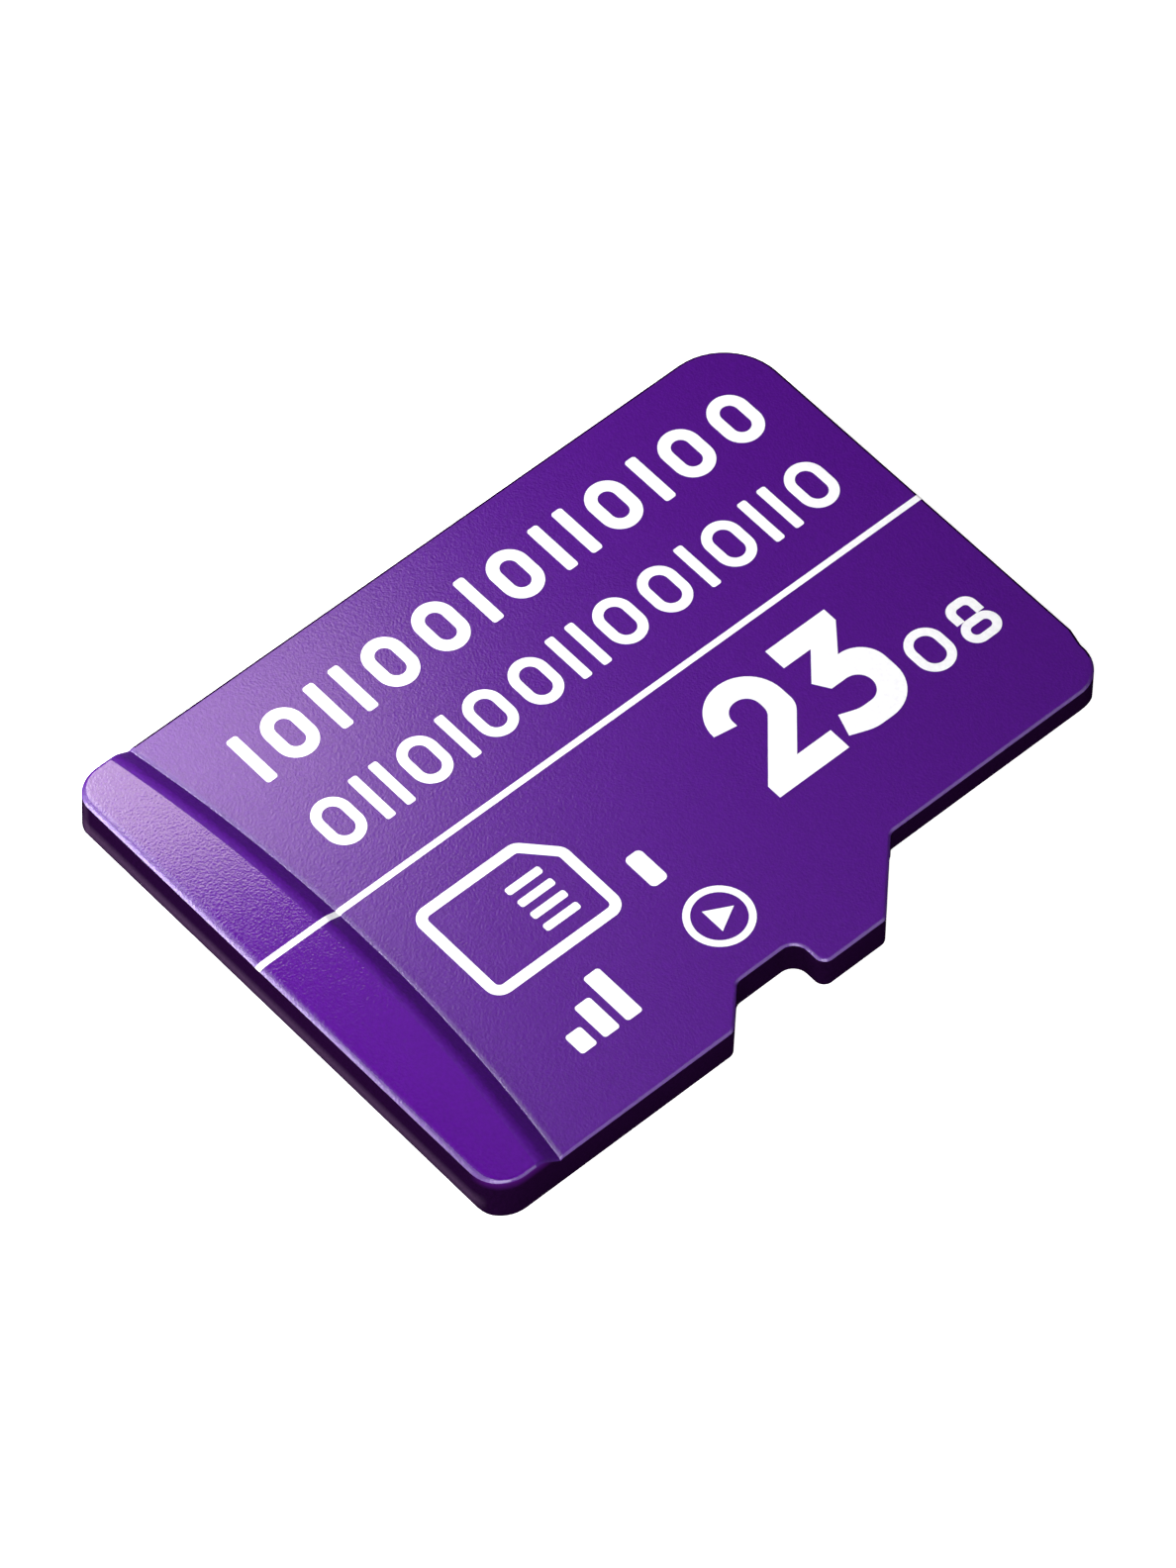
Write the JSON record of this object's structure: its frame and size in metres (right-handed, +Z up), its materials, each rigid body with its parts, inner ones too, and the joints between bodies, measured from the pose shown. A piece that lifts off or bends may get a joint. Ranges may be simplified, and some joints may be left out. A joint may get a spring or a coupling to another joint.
{
  "type": "micro memory card",
  "caption": "Thin rectangular memory card with a raised finger lip, a latch notch, a narrowed contact end and plated contacts on its underside.",
  "frame": {"origin": "middle of the underside, where the card rests", "axes": "+Y towards the contact end, +X towards the notched side, +Z up through the printed face"},
  "size_m": [0.011, 0.015, 0.001],
  "materials": {
    "moulding": "satin moulded resin, purple",
    "laminate": "solder mask over laminate, near black",
    "contact_plating": "gold plated",
    "bond_wire": "drawn gold",
    "chip_ceramic": "fired, matt",
    "silicon": "polished wafer",
    "die_film": "adhesive film"
  },
  "bodies": {
    "root": {"capacitor_1": "chip_ceramic", "capacitor_2": "chip_ceramic", "capacitor_3": "chip_ceramic", "capacitor_4": "chip_ceramic", "contact_1": "contact_plating", "contact_2": "contact_plating", "contact_3": "contact_plating", "contact_4": "contact_plating", "contact_5": "contact_plating", "contact_6": "contact_plating", "contact_7": "contact_plating", "contact_8": "contact_plating", "controller_die": "silicon", "controller_film": "die_film", "controller_wire_1": "bond_wire", "controller_wire_2": "bond_wire", "controller_wire_3": "bond_wire", "controller_wire_4": "bond_wire", "controller_wire_5": "bond_wire", "controller_wire_6": "bond_wire", "flash_die_lower": "silicon", "flash_die_upper": "silicon", "flash_film_lower": "die_film", "flash_film_upper": "die_film", "flash_wire_1": "bond_wire", "flash_wire_2": "bond_wire", "flash_wire_3": "bond_wire", "flash_wire_4": "bond_wire", "flash_wire_5": "bond_wire", "flash_wire_6": "bond_wire", "flash_wire_7": "bond_wire", "flash_wire_8": "bond_wire", "moulded_body": "moulding", "substrate_board": "laminate"}
  },
  "joints": []
}
